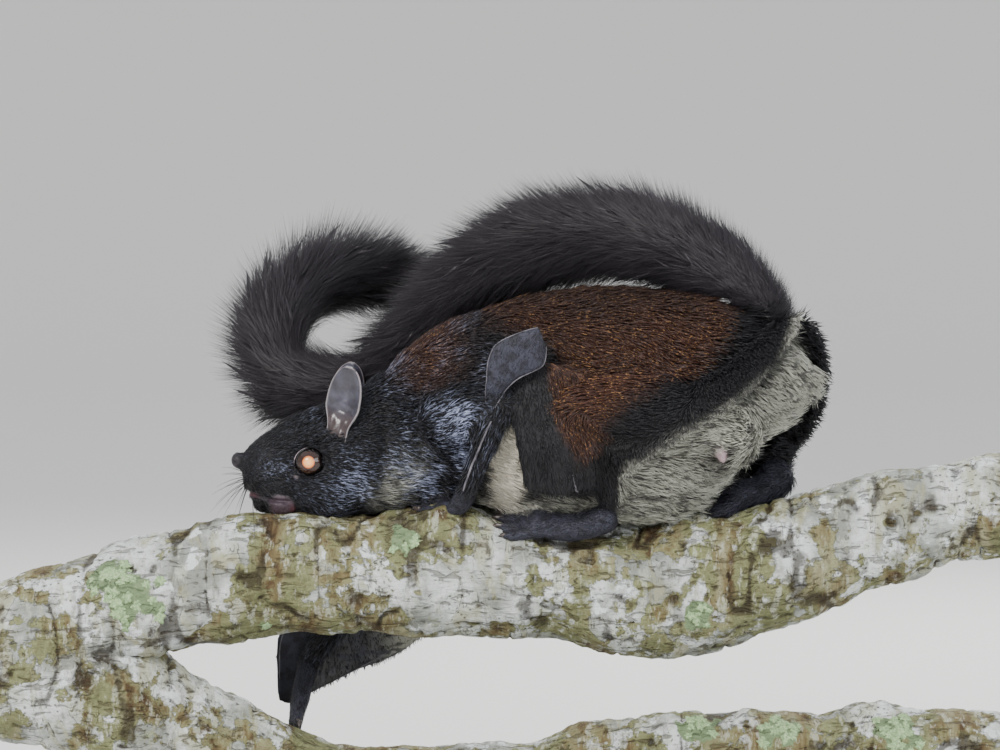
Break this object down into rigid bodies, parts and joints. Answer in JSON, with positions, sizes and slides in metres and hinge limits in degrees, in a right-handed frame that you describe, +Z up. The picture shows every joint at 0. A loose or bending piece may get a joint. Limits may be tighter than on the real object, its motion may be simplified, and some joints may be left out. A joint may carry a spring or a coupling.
{
  "type": "giant flying squirrel model on a perch",
  "caption": "Life-size giant flying squirrel crouched on a forked branch with its bushy tail curled over its back, on a plain display stand.",
  "frame": {"origin": "middle of the underside of the stand's base", "axes": "+X along the branch from the animal's head to its rump, +Y away from its left flank, +Z up"},
  "size_m": [0.616, 0.2483, 0.4477],
  "materials": {
    "black_fur": "glossy short fur",
    "chestnut_fur": "grizzled short fur",
    "tail_fur": "long soft fur",
    "ear_skin": "bare thin skin",
    "eye": "polished",
    "bark": "rough bark with lichen",
    "stand_paint": "matte",
    "stand_rod": "brushed"
  },
  "bodies": {
    "root": {"stand_base": "stand_paint", "stand_rod_front": "stand_rod", "stand_rod_rear": "stand_rod", "perch_upper_limb": "bark", "perch_lower_limb": "bark", "eye_left": "eye", "eye_right": "eye", "head": "black_fur", "neck": "black_fur", "torso_front": "chestnut_fur", "torso_rear": "chestnut_fur", "ear_left": "ear_skin", "ear_right": "ear_skin", "forelimb_left": "black_fur", "forelimb_right": "black_fur", "hindlimb_left": "black_fur", "hindlimb_right": "black_fur", "hand_left": "black_fur", "hand_right": "black_fur", "foot_left": "black_fur", "foot_right": "black_fur", "wingtip_left": "black_fur", "wingtip_right": "black_fur", "patagium_left": "black_fur", "patagium_right": "black_fur", "uropatagium_left": "black_fur", "uropatagium_right": "black_fur", "tail_1": "tail_fur", "tail_2": "tail_fur", "tail_3": "tail_fur", "tail_4": "tail_fur", "tail_5": "tail_fur"}
  },
  "joints": []
}
